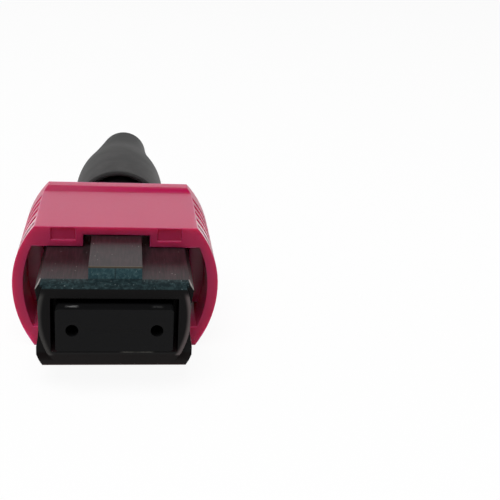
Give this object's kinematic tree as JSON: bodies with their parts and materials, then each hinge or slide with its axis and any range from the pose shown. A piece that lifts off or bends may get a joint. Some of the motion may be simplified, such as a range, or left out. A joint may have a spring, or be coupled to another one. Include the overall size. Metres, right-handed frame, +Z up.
{
  "type": "multi-fibre optical cable plug",
  "caption": "Rectangular push-on optical plug with a magenta pull-back sleeve, black keyed frame, sprung guide-hole ferrule and tapered strain relief boot.",
  "frame": {"origin": "centre of the ferrule's polished end face, midway between the two guide holes", "axes": "-Y out of the plug towards its mate, +Y back along the fibres to the boot, +Z up on the keyed side, +X to the right seen from the front"},
  "size_m": [0.0124, 0.0383, 0.008],
  "materials": {
    "sleeve_magenta": "moulded satin",
    "frame_black": "moulded satin",
    "ferrule_black": "polished end face",
    "inner_rubber": "matte",
    "keeper_plastic": "moulded",
    "push_black": "moulded",
    "spring_steel": "drawn wire",
    "crimp_metal": "black anodised",
    "boot_rubber": "matte",
    "fibre_blue": "coated glass",
    "fibre_orange": "coated glass",
    "fibre_green": "coated glass",
    "fibre_brown": "coated glass",
    "fibre_slate": "coated glass",
    "fibre_white": "coated glass",
    "fibre_red": "coated glass",
    "fibre_black": "coated glass",
    "fibre_yellow": "coated glass",
    "fibre_violet": "coated glass",
    "fibre_rose": "coated glass",
    "fibre_aqua": "coated glass"
  },
  "bodies": {
    "housing": {"plug_frame": "frame_black", "spring_push": "push_black", "crimp_ring": "crimp_metal", "strain_relief_boot": "boot_rubber", "ferrule_spring": "spring_steel", "sleeve_spring_left": "spring_steel", "sleeve_spring_right": "spring_steel"},
    "sleeve": {"coupling_sleeve": "sleeve_magenta"},
    "ferrule_set": {"ferrule": "ferrule_black", "ferrule_boot": "inner_rubber", "pin_keeper": "keeper_plastic", "fibre_01": "fibre_blue", "fibre_02": "fibre_orange", "fibre_03": "fibre_green", "fibre_04": "fibre_brown", "fibre_05": "fibre_slate", "fibre_06": "fibre_white", "fibre_07": "fibre_red", "fibre_08": "fibre_black", "fibre_09": "fibre_yellow", "fibre_10": "fibre_violet", "fibre_11": "fibre_rose", "fibre_12": "fibre_aqua"}
  },
  "joints": [
    {"name": "sleeve_slide", "type": "slide", "parent": "housing", "child": "sleeve", "axis": [0, 1, 0], "range_m": [0, 0.0022], "stiffness_N_per_m": 400, "springref_m": -0.002, "deforming": ["sleeve_spring_left", "sleeve_spring_right"]},
    {"name": "ferrule_float", "type": "slide", "parent": "housing", "child": "ferrule_set", "axis": [0, 1, 0], "range_m": [0, 0.001], "stiffness_N_per_m": 800, "springref_m": -0.002, "deforming": ["ferrule_spring"]}
  ]
}
